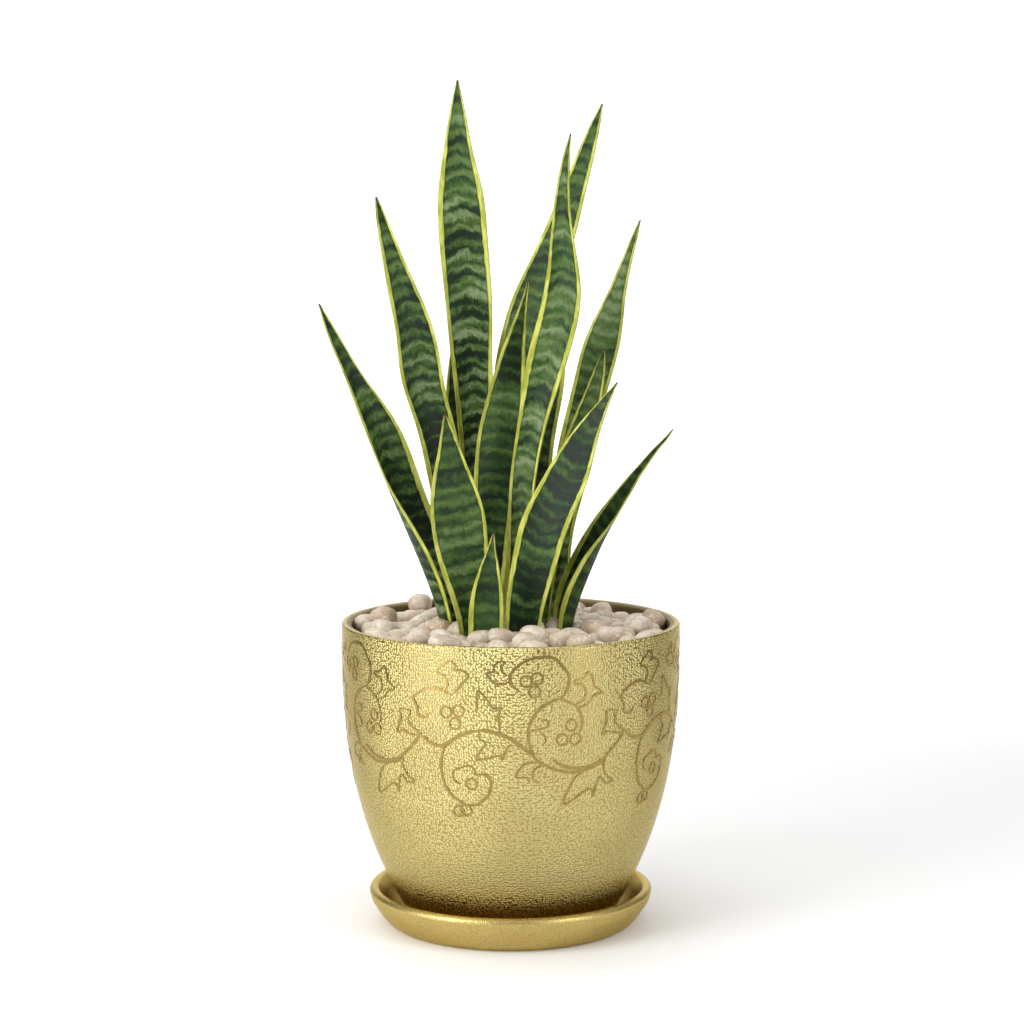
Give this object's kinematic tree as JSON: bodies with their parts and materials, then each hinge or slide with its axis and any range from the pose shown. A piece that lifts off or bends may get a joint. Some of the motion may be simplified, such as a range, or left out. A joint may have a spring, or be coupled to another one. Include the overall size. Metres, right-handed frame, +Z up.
{
  "type": "potted snake plant",
  "caption": "Upright clump of banded, yellow-edged sword leaves in a round gold-glazed ceramic planter on a matching saucer, topped with river pebbles.",
  "frame": {"origin": "centre of the saucer's flat underside, on the pot's axis", "axes": "+Z up along the pot's axis; +X to the right seen from the front; -Y faces the front"},
  "size_m": [0.3157, 0.3, 0.748],
  "materials": {
    "gold_glaze": "metallic gold glaze over a fine hammered texture, with a raised smooth vine scroll",
    "saucer_gold_glaze": "metallic gold glaze with a fine speckle, smoother than the pot",
    "soil": "dark, matt and crumbly",
    "rhizome": "matt, pale orange-brown",
    "gravel": "packed small stones",
    "pebble": "smooth satin beige river pebbles",
    "leaf": "satin dark green with irregular pale grey-green cross bands and yellow margins"
  },
  "bodies": {
    "saucer": {"saucer": "saucer_gold_glaze"},
    "planter": {"pot": "gold_glaze", "potting_soil": "soil", "rhizome": "rhizome", "gravel_bed": "gravel", "leaf_tall_back": "leaf", "leaf_left_back": "leaf", "leaf_far_left": "leaf", "leaf_centre_left": "leaf", "leaf_tall_centre": "leaf", "leaf_tall_right": "leaf", "leaf_right_inner": "leaf", "leaf_right_back": "leaf", "leaf_right_small": "leaf", "leaf_front_right": "leaf", "leaf_far_right": "leaf", "leaf_front_left": "leaf", "leaf_front_small": "leaf", "leaf_left_inner": "leaf", "pebble_01": "pebble", "pebble_02": "pebble", "pebble_03": "pebble", "pebble_04": "pebble", "pebble_05": "pebble", "pebble_06": "pebble", "pebble_07": "pebble", "pebble_08": "pebble", "pebble_09": "pebble", "pebble_10": "pebble", "pebble_11": "pebble", "pebble_12": "pebble", "pebble_13": "pebble", "pebble_14": "pebble", "pebble_15": "pebble", "pebble_16": "pebble", "pebble_17": "pebble", "pebble_18": "pebble", "pebble_19": "pebble", "pebble_20": "pebble", "pebble_21": "pebble", "pebble_22": "pebble", "pebble_23": "pebble", "pebble_24": "pebble", "pebble_25": "pebble", "pebble_26": "pebble", "pebble_27": "pebble", "pebble_28": "pebble", "pebble_29": "pebble", "pebble_30": "pebble", "pebble_31": "pebble", "pebble_32": "pebble"}
  },
  "joints": [
    {"name": "planter_lift", "type": "slide", "parent": "saucer", "child": "planter", "axis": [0, 0, 1], "range_m": [0, 0.06]}
  ]
}
